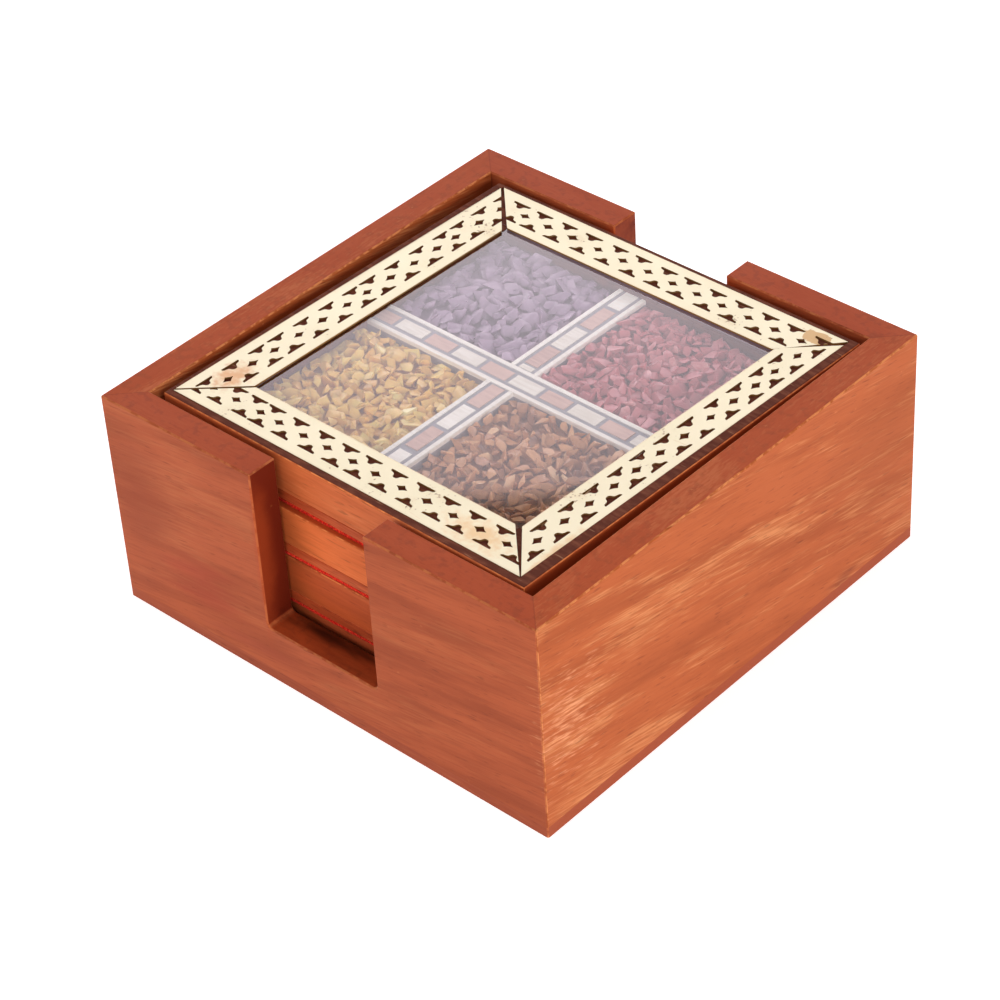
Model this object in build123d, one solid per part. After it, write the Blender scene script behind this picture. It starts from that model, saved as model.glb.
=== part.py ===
from build123d import *

import math
import os

# Set of gemstone-inlay coasters stacked in an open hardwood holder.
#
# The holder is a square tray: four mitred walls stand on a thin base panel, and the front and
# back walls each have a finger notch. Every coaster is a wooden block with a felt underside.
# Its top holds a pierced brass frame of four mitred strips, a glass pane under that frame, and
# under the glass a pocket that a marquetry cross divides into four beds of stone chips.
#
# Millimetres and degrees. +Z is up and Z = 0 is the underside of the base. -Y is the front, the
# side of one notched wall, and +X is the plain right-hand wall.

# ---------------------------------------------------------------- driving dimensions

# Coaster block
coaster_side = 96.4            # outside of the square block
block_thickness = 11.1         # wood alone, without the felt
felt_thickness = 0.9
felt_inset = 0.4               # the felt stops this far inside the block's sides
block_edge_ease = 0.4          # chamfer along every outer edge of the block

# Brass frame let into the top of the block, flush with it
wood_border = 1.8              # bare wood left outside the brass
strip_width = 10.6
brass_thickness = 0.6
mitre_gap = 0.4                # dark gap between two strips at a corner
inlay_clearance = 0.1          # round what is let into the block

# Pierced pattern of a strip: two facing rows of trefoils with a row of diamonds between them
fret_pitch = 6.65
edge_band = 2.3                # solid brass along each long edge
trefoil_gap = 2.45             # brass between neighbouring trefoils of a row
facing_gap = 2.2               # brass between the tips of two facing trefoils
trefoil_waist = 1.8            # width of a trefoil where its middle lobe starts
diamond_size = 2.1             # across the corners, both ways
mitre_web = 0.7                # least brass between an opening and the mitred end

# Glass and the pocket below it
glass_thickness = 1.6
glass_lap = 1.5                # how far the brass covers the edge of the glass
pocket_depth = 3.0             # from the underside of the glass to the pocket floor
chip_drop = 0.3                # the chips stop this far below the glass
chip_clearance = 0.1           # between a bed of chips and what surrounds it

# Marquetry cross: each bar is a wooden core between two bone lines, topped with a row of tiles
cross_width = 7.0
bone_line_width = 1.0
tile_width = 3.2
tile_gap = 0.9                 # dark separator between two tiles
tile_thickness = 1.0
long_bar_tile = 6.85           # length of a tile on the bar along X
half_bar_tile = 7.7            # length of a tile on the two half bars along Y
least_tile = 1.0               # a cut tile shorter than this is left out

# Each bar is sawn from a longer stick, so its first tile has lost this much of its length
long_bar_first_cut = 2.55
back_bar_first_cut = 6.2
front_bar_first_cut = 0.0

# Holder
coaster_count = 4
side_clearance = 1.8           # between a coaster's side and the wall, when centred
wall_thickness = 7.0
base_thickness = 2.6
rim_above_stack = 0.4          # the rim stands this far above the top coaster
holder_edge_ease = 0.3         # chamfer along the holder's sanded edges
notch_width = 29.6
notch_shift = -0.6             # both notches are cut this far off the middle, along X
sill_height = 13.2             # bottom of the finger notch, above the table
notch_corner_radius = 1.2

# How each coaster lies between the walls, from the top one down: a shift along X, a shift
# along Y and a turn, each as a share of what its clearance allows, so that none meets a wall.
lie_of_coasters = (
    (0.37, -0.18, -0.28),
    (0.45, -0.63, 0.12),
    (0.10, -0.63, 0.20),
    (0.10, -0.30, 0.06),
)

# ---------------------------------------------------------------- sizes that follow

coaster_pitch = block_thickness + felt_thickness
stack_height = coaster_count * coaster_pitch
cavity_side = coaster_side + 2 * side_clearance
holder_side = cavity_side + 2 * wall_thickness
holder_height = base_thickness + stack_height + rim_above_stack

brass_side = coaster_side - 2 * wood_border
window_side = brass_side - 2 * strip_width
glass_side = window_side + 2 * glass_lap
block_top = coaster_pitch
glass_top = block_top - brass_thickness
pocket_top = glass_top - glass_thickness
pocket_floor = pocket_top - pocket_depth

trefoil_width = fret_pitch - trefoil_gap
trefoil_height = (strip_width - 2 * edge_band - facing_gap) / 2
core_width = cross_width - 2 * bone_line_width
largest_turn = math.degrees(math.atan2(side_clearance, coaster_side / 2))


# ---------------------------------------------------------------- small helpers

def block(length, width, bottom, top, x=0.0, y=0.0):
    """Box centred on (x, y) between two heights."""
    return Pos(x, y, bottom) * Box(
        length, width, top - bottom, align=(Align.CENTER, Align.CENTER, Align.MIN)
    )


def prism(points, bottom, top):
    """Straight-sided solid over a closed outline, between two heights."""
    outline = Polyline(*points, close=True)
    return Pos(0, 0, bottom) * extrude(make_face(outline), top - bottom, dir=(0, 0, 1))


def edges_at(solid, axis, value):
    """Edges of a solid that lie wholly at one value of an axis."""
    margin = 0.001
    return solid.edges().filter_by_position(axis, value - margin, value + margin)


def save(solids, node):
    """Write one node, which may be a group of separate solids."""
    solids = solids if isinstance(solids, list) else [solids]
    pieces = [piece for solid in solids for piece in solid.solids()]
    shape = pieces[0] if len(pieces) == 1 else Compound(children=pieces)
    shape.label = node
    export_step(shape, "parts/" + node + ".step")


# ---------------------------------------------------------------- holder

def notch_cutter(side):
    """Rounded slot through the wall on one side of the holder, -1 for front and 1 for back."""
    middle = side * (holder_side - wall_thickness) / 2
    length = 2 * wall_thickness
    slot = block(notch_width, length, sill_height, 2 * holder_height, x=notch_shift, y=middle)
    low_corners = edges_at(slot, Axis.Z, sill_height).filter_by(Axis.Y)
    return fillet(low_corners, notch_corner_radius)


def is_eased(edge):
    """True for the edges of the wall ring that a maker sands: rim, uprights and notches."""
    middle = edge.center()
    margin = 0.001
    if abs(middle.Z - holder_height) < margin:
        return True
    if abs(middle.Z - base_thickness) < margin:
        return False
    if edge.bounding_box().size.Y > margin:
        return False
    return abs(abs(middle.X) - cavity_side / 2) > margin


def wall_ring():
    """All four walls in one ring, with both notches and its sanded edges."""
    ring = block(holder_side, holder_side, base_thickness, holder_height)
    ring = ring - block(cavity_side, cavity_side, 0, 2 * holder_height)
    for side in (-1, 1):
        ring = ring - notch_cutter(side)
    return chamfer([edge for edge in ring.edges() if is_eased(edge)], holder_edge_ease)


def wall_wedge(turn):
    """Triangular prism from the middle of the holder that keeps one wall of the ring."""
    reach = holder_side
    wedge = prism([(0, 0), (-reach, -reach), (reach, -reach)], 0, 2 * holder_height)
    return Rot(0, 0, turn) * wedge


def holder_base():
    """Thin panel under the walls, flush with their outer faces."""
    panel = block(holder_side, holder_side, 0, base_thickness)
    uprights = panel.edges().filter_by(Axis.Z)
    return chamfer(uprights, holder_edge_ease)


# ---------------------------------------------------------------- coaster wood, felt and glass

def coaster_block():
    """Wooden block with the seats for the brass, the glass and the chips cut into its top."""
    wood = block(coaster_side, coaster_side, felt_thickness, block_top)
    wood = chamfer(wood.edges(), block_edge_ease)
    brass_seat = brass_side + 2 * inlay_clearance
    glass_seat = glass_side + 2 * inlay_clearance
    wood = wood - block(brass_seat, brass_seat, glass_top, 2 * block_top)
    wood = wood - block(glass_seat, glass_seat, pocket_top, 2 * block_top)
    return wood - block(window_side, window_side, pocket_floor, 2 * block_top)


def coaster_felt():
    """Felt sheet glued under the block."""
    side = coaster_side - 2 * felt_inset
    return block(side, side, 0, felt_thickness)


def coaster_glass():
    """Pane that rests on the block's ledge, under the inner edge of the brass."""
    return block(glass_side, glass_side, pocket_top, glass_top)


# ---------------------------------------------------------------- pierced brass strips

def trefoil(x, base_y, toward):
    """Outline of one trefoil with its base on base_y and its tip toward +Y (1) or -Y (-1)."""
    shoulder = base_y + toward * trefoil_height * 0.4
    return [
        (x - trefoil_width / 2, base_y),
        (x + trefoil_width / 2, base_y),
        (x + trefoil_waist / 2, shoulder),
        (x, base_y + toward * trefoil_height),
        (x - trefoil_waist / 2, shoulder),
    ]


def diamond(x, y):
    """Outline of one diamond about its centre."""
    half = diamond_size / 2
    return [(x - half, y), (x, y - half), (x + half, y), (x, y + half)]


def row_places(first, half_width, row_y):
    """Places along X where a row has whole openings, symmetric about the middle of the strip.

    first is the place nearest the middle, half_width is half an opening's width, and row_y is
    the row's distance from the strip's outer edge where the opening is widest.
    """
    limit = brass_side / 2 - row_y - half_width - mitre_web
    count = math.floor((limit - first) / fret_pitch) + 1
    right = [first + fret_pitch * index for index in range(max(count, 0))]
    left = [-x for x in right if x > 0]
    return sorted(left + right)


def brass_strip():
    """Front strip of the frame: a mitred blank with its pierced pattern, outer edge at -Y."""
    outer_y = -brass_side / 2
    inner_y = outer_y + strip_width
    pull = mitre_gap / 2 * math.sqrt(2)
    blank = [
        (-brass_side / 2 + pull, outer_y),
        (brass_side / 2 - pull, outer_y),
        (window_side / 2 - pull, inner_y),
        (-window_side / 2 + pull, inner_y),
    ]
    strip = prism(blank, glass_top, block_top)
    half_trefoil = trefoil_width / 2
    outer_base = edge_band
    inner_base = strip_width - edge_band
    openings = [
        trefoil(x, outer_y + outer_base, 1)
        for x in row_places(fret_pitch / 2, half_trefoil, outer_base)
    ]
    openings += [
        trefoil(x, outer_y + inner_base, -1)
        for x in row_places(fret_pitch / 2, half_trefoil, inner_base)
    ]
    openings += [
        diamond(x, outer_y + strip_width / 2)
        for x in row_places(0, diamond_size / 2, strip_width / 2)
    ]
    bottom = glass_top - brass_thickness
    top = block_top + brass_thickness
    cutters = [prism(outline, bottom, top) for outline in openings]
    return strip - cutters


# ---------------------------------------------------------------- marquetry cross

class Tile:
    """One tile of a bar that lies along X, from one x to another."""

    def __init__(self, start, end):
        self.start = start
        self.end = end

    def solid(self):
        """The tile as a solid, flush with the top of the bone lines."""
        middle = (self.start + self.end) / 2
        bottom = pocket_top - tile_thickness
        return block(self.end - self.start, tile_width, bottom, pocket_top, x=middle)


def tile_row(start, end, tile_length, first_cut):
    """Tiles of one bar in order, the first and last ones cut off at the bar's ends."""
    step = tile_length + tile_gap
    first = start + tile_gap / 2 if first_cut == 0 else start - first_cut
    count = math.ceil((end - first) / step)
    row = []
    for index in range(count):
        tile = Tile(max(first + step * index, start), min(first + step * index + tile_length, end))
        if tile.end - tile.start >= least_tile:
            row.append(tile)
    return row


def bar(start, end):
    """Wooden core and the two bone lines of a bar that lies along X."""
    length = end - start
    middle = (start + end) / 2
    line_y = (cross_width - bone_line_width) / 2
    core = block(length, core_width, pocket_floor, pocket_top - tile_thickness, x=middle)
    lines = [
        block(length, bone_line_width, pocket_floor, pocket_top, x=middle, y=side * line_y)
        for side in (-1, 1)
    ]
    return core, lines


def marquetry_cross():
    """Wooden and bone pieces of the cross: one long bar along X and two half bars along Y."""
    end = window_side / 2 - inlay_clearance
    half_start = cross_width / 2
    bars = (
        # start, turn, tile length, cut from the first tile, and whether bone comes first
        (-end, 0, long_bar_tile, long_bar_first_cut, False),
        (half_start, 90, half_bar_tile, back_bar_first_cut, True),
        (half_start, -90, half_bar_tile, front_bar_first_cut, False),
    )
    wood = []
    bone = []
    for start, turn, tile_length, first_cut, bone_first in bars:
        core, lines = bar(start, end)
        wood.append(Rot(0, 0, turn) * core)
        bone += [Rot(0, 0, turn) * line for line in lines]
        for index, tile in enumerate(tile_row(start, end, tile_length, first_cut)):
            is_bone = (index % 2 == 0) == bone_first
            (bone if is_bone else wood).append(Rot(0, 0, turn) * tile.solid())
    return wood, bone


# ---------------------------------------------------------------- stone chips

def chip_bed(x_side, y_side):
    """Bed of chips that fills one quarter of the pocket."""
    near = cross_width / 2 + chip_clearance
    far = window_side / 2 - chip_clearance
    side = far - near
    middle = (near + far) / 2
    top = pocket_top - chip_drop
    return block(side, side, pocket_floor, top, x=x_side * middle, y=y_side * middle)


# ---------------------------------------------------------------- write the nodes

os.makedirs("parts", exist_ok=True)

ring = wall_ring()
save(holder_base(), "holder_base")
walls = (
    ("holder_front_wall", 0),
    ("holder_right_wall", 90),
    ("holder_back_wall", 180),
    ("holder_left_wall", 270),
)
for node, turn in walls:
    save(ring & wall_wedge(turn), node)

strip = brass_strip()
cross_wood, cross_bone = marquetry_cross()
coaster_pieces = {
    "block": coaster_block(),
    "felt": coaster_felt(),
    "glass": coaster_glass(),
    "brass_front": strip,
    "brass_right": Rot(0, 0, 90) * strip,
    "brass_back": Rot(0, 0, 180) * strip,
    "brass_left": Rot(0, 0, 270) * strip,
    "cross_wood": cross_wood,
    "cross_bone": cross_bone,
    "chips_amethyst": chip_bed(-1, 1),
    "chips_citrine": chip_bed(-1, -1),
    "chips_carnelian": chip_bed(1, 1),
    "chips_tiger_eye": chip_bed(1, -1),
}
for number in range(1, coaster_count + 1):
    bottom = base_thickness + (coaster_count - number) * coaster_pitch
    shift_x, shift_y, turn = lie_of_coasters[(number - 1) % len(lie_of_coasters)]
    place = Pos(shift_x * side_clearance, shift_y * side_clearance, bottom)
    place = place * Rot(0, 0, turn * largest_turn)
    for name, piece in coaster_pieces.items():
        solids = piece if isinstance(piece, list) else [piece]
        save([place * solid for solid in solids], "coaster_" + str(number) + "_" + name)
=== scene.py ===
"""Four gemstone-inlay drinks coasters stacked in an open, mitred hardwood holder.

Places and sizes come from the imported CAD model. The holder's walls, its base and the glass
panes are the CAD's own meshes with finishes made here. Blocks, felt, pierced brass, marquetry
and stone chips are modelled here in finer detail and stand for their CAD nodes. Shapes are
built in millimetres about the middle of a coaster's underside, then put in their place.
"""

import logging
import math
from dataclasses import dataclass
from enum import Enum
from functools import cached_property
from random import Random
from typing import Sequence

import bmesh
import bpy
from mathutils import Matrix, Vector


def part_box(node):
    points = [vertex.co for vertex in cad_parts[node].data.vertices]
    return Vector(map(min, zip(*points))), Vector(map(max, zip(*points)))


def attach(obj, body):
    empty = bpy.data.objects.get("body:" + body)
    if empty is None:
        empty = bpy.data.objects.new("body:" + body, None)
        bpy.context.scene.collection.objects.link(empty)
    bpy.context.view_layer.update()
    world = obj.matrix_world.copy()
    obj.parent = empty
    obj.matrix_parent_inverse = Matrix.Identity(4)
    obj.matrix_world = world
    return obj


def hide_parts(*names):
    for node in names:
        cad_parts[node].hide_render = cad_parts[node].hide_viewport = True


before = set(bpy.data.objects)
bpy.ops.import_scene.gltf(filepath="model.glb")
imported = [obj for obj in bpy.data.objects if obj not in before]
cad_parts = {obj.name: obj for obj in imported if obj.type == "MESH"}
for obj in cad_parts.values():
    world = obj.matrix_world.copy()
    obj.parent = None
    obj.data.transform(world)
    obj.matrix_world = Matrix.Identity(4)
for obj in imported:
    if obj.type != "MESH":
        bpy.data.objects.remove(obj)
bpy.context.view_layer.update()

LOG = logging.getLogger("coasters")
MM = 0.001
# How far up the normal of a level face points, and that of the upper part of a rounding
LEVEL, NEARLY_LEVEL = 0.999, 0.93

Point = tuple[float, float, float]
Plan = tuple[float, float]
Shape = bmesh.types.BMesh
Vert = bmesh.types.BMVert
Face = bmesh.types.BMFace
Material = bpy.types.Material
Socket = bpy.types.NodeSocket

# Sockets of a Mix node that blends colours
FACTOR, FIRST, SECOND, BLEND = 0, 6, 7, 2


def linear(code: str) -> tuple[float, float, float, float]:
    """Turns an sRGB hex colour such as "b15c3c" into linear red, green, blue and alpha."""
    parts = [int(code[index:index + 2], 16) / 255 for index in (0, 2, 4)]
    return (*(p / 12.92 if p <= 0.04045 else ((p + 0.055) / 1.055) ** 2.4 for p in parts), 1.0)


def per_metre(spacing: float) -> float:
    """Scale of a pattern whose features are spacing millimetres apart."""
    return 1000.0 / spacing


def in_metres(point: Sequence[float]) -> tuple[float, ...]:
    """Turns millimetres into metres."""
    return tuple(value * MM for value in point)


# ---------------------------------------------------------------- materials


def add_node(
    tree: bpy.types.NodeTree, kind: str, *values: object, stops: Sequence[tuple[float, str]] = (),
    numbered: dict[int, object] | None = None, **named: object,
) -> bpy.types.Node:
    """Adds a node with its settings and links.

    Args:
        tree: the node tree that it joins.
        kind: the node's type, without "ShaderNode".
        values: what its first sockets get, each a value or the socket that drives it.
        stops: places and colours of a colour ramp.
        numbered: what other sockets get, by their numbers.
        named: with a capital, what a socket gets, by its name with an underscore for each
            space; without one, a setting of the node itself.

    Returns:
        The new node.
    """
    node = tree.nodes.new(f"ShaderNode{kind}")
    inputs = dict(enumerate(values)) | (numbered or {})
    for name, value in named.items():
        if name[0].isupper():
            inputs[name.replace("_", " ")] = value
        else:
            setattr(node, name, value)
    for socket, value in inputs.items():
        if isinstance(value, Socket):
            tree.links.new(value, node.inputs[socket])
        else:
            node.inputs[socket].default_value = value
    for index, (where, code) in enumerate(stops):
        elements = node.color_ramp.elements
        element = elements[index] if index < 2 else elements.new(where)
        element.position, element.color = where, linear(code)
    return node


class Bench:
    """One node material being made, with its piece's own coordinates."""

    def __init__(self, name: str) -> None:
        """Starts a material.

        Args:
            name: the material's name.
        """
        self.material = bpy.data.materials.new(name)
        self.material.use_nodes = True
        self.tree = self.material.node_tree
        self.tree.nodes.clear()
        self.place = self.add("TexCoord", output="Object")

    def add(self, kind: str, *values: object, output: str | int = 0, **more: object) -> Socket:
        """Adds a node to the material, as add_node does, and returns one of its outputs."""
        return add_node(self.tree, kind, *values, **more).outputs[output]

    def paint(self, under: Socket | str, code: str, pattern: Socket, bare: float, full: float,
              strength: float = 1.0) -> Socket:
        """Paints a colour over another, thick or thin as a pattern says.

        Args:
            under: the colour to paint over.
            code: the paint's colour.
            pattern: what decides how thick the paint is.
            bare: value of the pattern where there is no paint.
            full: value of the pattern where the paint is thickest.
            strength: how well the thickest paint covers, from 0 to 1.

        Returns:
            The painted colour.
        """
        mask = self.add(
            "MapRange", pattern, bare, full, 0.0, strength, interpolation_type="SMOOTHSTEP"
        )
        first = linear(under) if isinstance(under, str) else under
        mixed = {FACTOR: mask, FIRST: first, SECOND: linear(code)}
        return self.add("Mix", numbered=mixed, output=BLEND, data_type="RGBA")

    def strokes(self, turn: float, squeeze: float, spacing: float, detail: float) -> Socket:
        """A pattern of long marks, as a brush, a buffing wheel or a saw leaves them.

        Args:
            turn: their turn about the upright.
            squeeze: how much the pattern is squeezed along them.
            spacing: how far apart they lie, in millimetres.
            detail: how many finer layers they have.

        Returns:
            The pattern.
        """
        turned, scale = (0.0, 0.0, turn), (squeeze, 1.0, 1.0)
        drawn = self.add("Mapping", self.place, Rotation=turned, Scale=scale)
        return self.add("TexNoise", drawn, Scale=per_metre(spacing), Detail=detail)

    def coat(self, **sockets: object) -> Material:
        """Ends the material in a Principled shader that has these sockets."""
        return self.end(self.add("BsdfPrincipled", **sockets))

    def end(self, surface: Socket) -> Material:
        """Shows a shader on the material's surface and returns the material."""
        add_node(self.tree, "OutputMaterial", surface)
        return self.material


# a patch serves for real stains and also for painted light and shade
@dataclass(frozen=True)
class StainAndLightPatch:
    """A ragged patch of another colour, by its centre and reach in millimetres."""

    centre: Point
    reach: Point
    colour: str
    strength: float
    grain: float = 2.5
    ragged: float = 1.6
    fade: float = 0.9
    edge: float = 1.3

    def over(self, bench: Bench, colour: Socket, drawn: Socket | None = None) -> Socket:
        """Lays the patch over a colour.

        Args:
            bench: the material being made.
            colour: the colour under the patch.
            drawn: coordinates that give the patch's ragged edge its direction.

        Returns:
            The colour with the patch on it.
        """
        spot = bench.add(
            "Mapping", bench.place, in_metres(self.centre), Scale=in_metres(self.reach),
            vector_type="TEXTURE",
        )
        far = bench.add("VectorMath", spot, operation="LENGTH", output="Value")
        scale = per_metre(self.grain)
        noise = bench.add("TexNoise", drawn or bench.place, Scale=scale, Detail=3.0)
        edge = bench.add("Math", noise, self.ragged, far, operation="MULTIPLY_ADD")
        outer, inner = self.edge + self.fade / 2, self.edge - self.fade / 2
        return bench.paint(colour, self.colour, edge, outer, inner, self.strength)


class Grain(Enum):
    """The direction that a board's fibres run in."""

    ALONG_X = 0
    ALONG_Y = 1


@dataclass(frozen=True)
class Hardwood:
    """Plain-sawn tropical hardwood, stained red-brown, under a thin satin lacquer.

    Fine short fibres run along the board. Its silky figure is painted sheen: pale colour
    where the fibres would catch the light. The stain sits darker in the open pores and in
    end grain, where the darker colour is partly painted shade. Edges are painted pale,
    partly stain that sanding has worn thin and partly painted highlight, and upward faces
    a deeper red, painted shade for the light that falls less on the tops.
    """

    name: str
    grain: Grain
    body: str
    deep: str
    # pale: colour of the painted sheen in the figure and its threads
    pale: str
    # rim: colour of upward faces, a deeper red that is painted shade for less light on the tops
    rim: str = "b64a20"
    # end: end-grain colour, stain soaked deeper and painted shade, as on the notch's shaded sides
    end: str = "6a2110"
    pore: str = "5a2412"
    worn_highlight: str = "e08c54"
    glue: str = "3c140c"
    tilt: float = 0.0
    painted_sheen: float = 0.55
    wear_and_highlight: float = 0.45
    joint: float = 0.0
    stain_and_light_patches: tuple[StainAndLightPatch, ...] = ()

    def material(self) -> Material:
        """Makes the node material.

        Returns:
            The new material.
        """
        bench = Bench(self.name)
        axis = self.grain.value
        turn, drawn = [0.0, 0.0, 0.0], {}
        turn[1 - axis] = -self.tilt
        for length in (5.0, 8.0, 18.0):
            scale = [1.0, 1.0, 1.0]
            scale[axis] = length
            drawn[length] = bench.add(
                "Mapping", bench.place, Rotation=turn, Scale=scale, vector_type="TEXTURE"
            )
        streak, fibre, pores, figure, threads = (
            bench.add("TexNoise", drawn[length], Scale=per_metre(spacing), Detail=detail,
                      Distortion=distortion)
            for length, spacing, detail, distortion in (
                (8.0, 5.0, 5.0, 0.5),  # growth streaks across the board
                (18.0, 0.45, 3.0, 0.0),  # fibres, really 0.05 mm wide, drawn 0.45 mm wide
                (8.0, 0.5, 1.0, 0.0),  # open pores, short dark dashes
                (5.0, 9.0, 3.0, 0.8),  # silky figure: painted sheen, pale where the fibres would catch the light
                (18.0, 0.5, 2.0, 0.3),  # fine bright threads of painted sheen in that figure
            )
        )
        painted_sheen_threads = bench.add("Math", figure, threads, operation="MULTIPLY")
        facing = bench.add("NewGeometry", output="True Normal")
        level = bench.add("VectorMath", facing, operation="ABSOLUTE")
        sides = bench.add("SeparateXYZ", level).node.outputs
        rubbed = bench.add("TexNoise", bench.place, Scale=per_metre(1.8), Detail=4.0)
        mottled = bench.add("Math", rubbed, sides[2], operation="MULTIPLY")
        # sanded edges, painted pale: stain worn thin and painted highlight. A face that looks
        # along no axis is a chamfer or a rounding
        widest = sides[2]
        for side in sides[:2]:
            widest = bench.add("Math", widest, side, operation="MAXIMUM")
        bare = bench.add("Math", rubbed, widest, operation="SUBTRACT")
        colour = self.body
        for coat in (
            (self.deep, streak, 0.42, 0.72, 0.6),
            # painted sheen: pale in the figure and its threads, for light caught by tilted fibres
            (self.pale, figure, 0.48, 0.78, self.painted_sheen * 0.5),
            (self.pale, painted_sheen_threads, 0.24, 0.42, self.painted_sheen),
            (self.deep, fibre, 0.55, 0.3, 0.35),
            (self.pore, pores, 0.62, 0.76, 0.4),
            # end grain painted darker: real stain soak, and painted shade for the shaded notch
            # sides
            (self.end, sides[axis], 0.85, 0.98),
            # upward faces painted a deeper red: painted shade, for the light that falls less on
            # the tops
            (self.rim, sides[2], 0.9, 0.99, 0.6),
            (self.deep, mottled, 0.5, 0.68, 0.4),
            # pale paint on chamfers and roundings: worn stain and painted highlight
            (self.worn_highlight, bare, -0.3, -0.12, self.wear_and_highlight),
        ):
            colour = bench.paint(colour, *coat)
        if self.joint:
            # the mitres lie on the plan's two diagonals
            plan = bench.add("VectorMath", bench.place, operation="ABSOLUTE")
            plan = bench.add("SeparateXYZ", plan).node.outputs
            off = bench.add("Math", plan[0], plan[1], operation="SUBTRACT")
            off = bench.add("Math", off, operation="ABSOLUTE")
            colour = bench.paint(colour, self.glue, off, 0.0003, 0.00005, self.joint)
        # lays the patches: real stains, and painted light and shade
        for stain_and_light_patch in self.stain_and_light_patches:
            colour = stain_and_light_patch.over(bench, colour, drawn[8.0])
        return bench.coat(
            Base_Color=colour,
            Roughness=bench.add("MapRange", streak, To_Min=0.42, To_Max=0.6),
            Normal=bench.add("Bump", Strength=0.12, Distance=0.0001, Height=fibre),
            Coat_Weight=0.02, Coat_Roughness=0.3, Specular_IOR_Level=0.08,
        )


@dataclass(frozen=True)
class StainedSeat:
    """Hardwood brushed with dark walnut stain where the inlay is let in.

    It gives the dull brown border round the brass, and shows through the pierced holes.
    """

    name: str = "walnut_stained_hardwood_seat"
    body: str = "623426"
    light: str = "804a36"
    scratch: str = "ad7c5c"

    def material(self) -> Material:
        """Makes the node material.

        Returns:
            The new material.
        """
        bench = Bench(self.name)
        strokes = bench.strokes(0.0, 0.3, 1.2, 4.0)
        scratches = bench.strokes(0.9, 0.12, 0.6, 1.0)
        colour = bench.paint(self.body, self.light, strokes, 0.4, 0.75)
        return bench.coat(
            Base_Color=bench.paint(colour, self.scratch, scratches, 0.7, 0.78, 0.5),
            Roughness=bench.add("MapRange", strokes, To_Min=0.5, To_Max=0.7),
            Specular_IOR_Level=0.03,
        )


@dataclass(frozen=True)
class PressedFelt:
    """Red wool felt, pressed in a sheet: a matt, slightly fuzzy, vivid red line."""

    name: str = "pressed_red_wool_felt"
    body: str = "cc2212"
    deep: str = "8e120a"
    bright: str = "f04a2c"

    def material(self) -> Material:
        """Makes the node material.

        Returns:
            The new material.
        """
        bench = Bench(self.name)
        # wool fibres lie in tufts about 0.35 mm across
        tufts = bench.add("TexNoise", bench.place, Scale=per_metre(0.35), Detail=3.0)
        colour = bench.paint(self.body, self.deep, tufts, 0.5, 0.3)
        return bench.coat(
            Base_Color=bench.paint(colour, self.bright, tufts, 0.5, 0.7),
            Normal=bench.add("Bump", Strength=0.5, Distance=0.0002, Height=tufts),
            Roughness=0.95, Sheen_Weight=0.03, Specular_IOR_Level=0.1,
        )


@dataclass(frozen=True)
class PiercedBrass:
    """Thin sheet brass, punched and buffed: pale cream gold, tan where it has tarnished.

    The buffing wheel misses a narrow line along each long edge, which stays golden, and the
    cut edges, which give each opening a thin dark-gold rim.
    """

    name: str = "punched_buffed_sheet_brass"
    body: str = "eee8c8"
    tarnish: str = "d0a468"
    edge: str = "a67c44"
    speck: str = "8a6238"
    stains: tuple[StainAndLightPatch, ...] = ()

    def material(self) -> Material:
        """Makes the node material.

        Returns:
            The new material.
        """
        bench = Bench(self.name)
        cloudy = bench.add(
            "TexNoise", bench.place, Scale=per_metre(9.0), Detail=5.0, Roughness=0.6
        )
        colour = bench.paint(self.body, self.tarnish, cloudy, 0.6, 0.85, 0.3)
        # the strip's own map runs from 0 at one long edge to 1 at the other
        across = bench.add("SeparateXYZ", bench.add("UVMap", uv_map="strip"), output=1)
        middle = bench.add("Math", across, 0.5, operation="SUBTRACT")
        middle = bench.add("Math", middle, operation="ABSOLUTE")
        colour = bench.paint(colour, self.tarnish, middle, 0.45, 0.5, 0.15)
        for stain in self.stains:
            colour = stain.over(bench, colour)
        # pinpricks and chips in the lacquer, thickest where the brass has clouded
        pricks = bench.add("TexNoise", bench.place, Scale=per_metre(0.7), Detail=2.0)
        pricked = bench.add("Math", pricks, cloudy, operation="MULTIPLY")
        colour = bench.paint(colour, self.speck, pricked, 0.4, 0.46, 0.6)
        # hairline scratches from buffing
        hairlines = bench.strokes(0.7, 0.08, 0.5, 2.0)
        colour = bench.paint(colour, self.tarnish, hairlines, 0.7, 0.8, 0.3)
        facing = bench.add("NewGeometry", output="True Normal")
        upright = bench.add("SeparateXYZ", facing, output=2)
        return bench.coat(
            Base_Color=bench.paint(colour, self.edge, upright, 0.6, 0.3),
            Roughness=bench.add("MapRange", cloudy, To_Min=0.4, To_Max=0.62),
            Normal=bench.add("Bump", Strength=0.08, Distance=0.0001, Height=hairlines),
            Metallic=0.7,
        )


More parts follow.
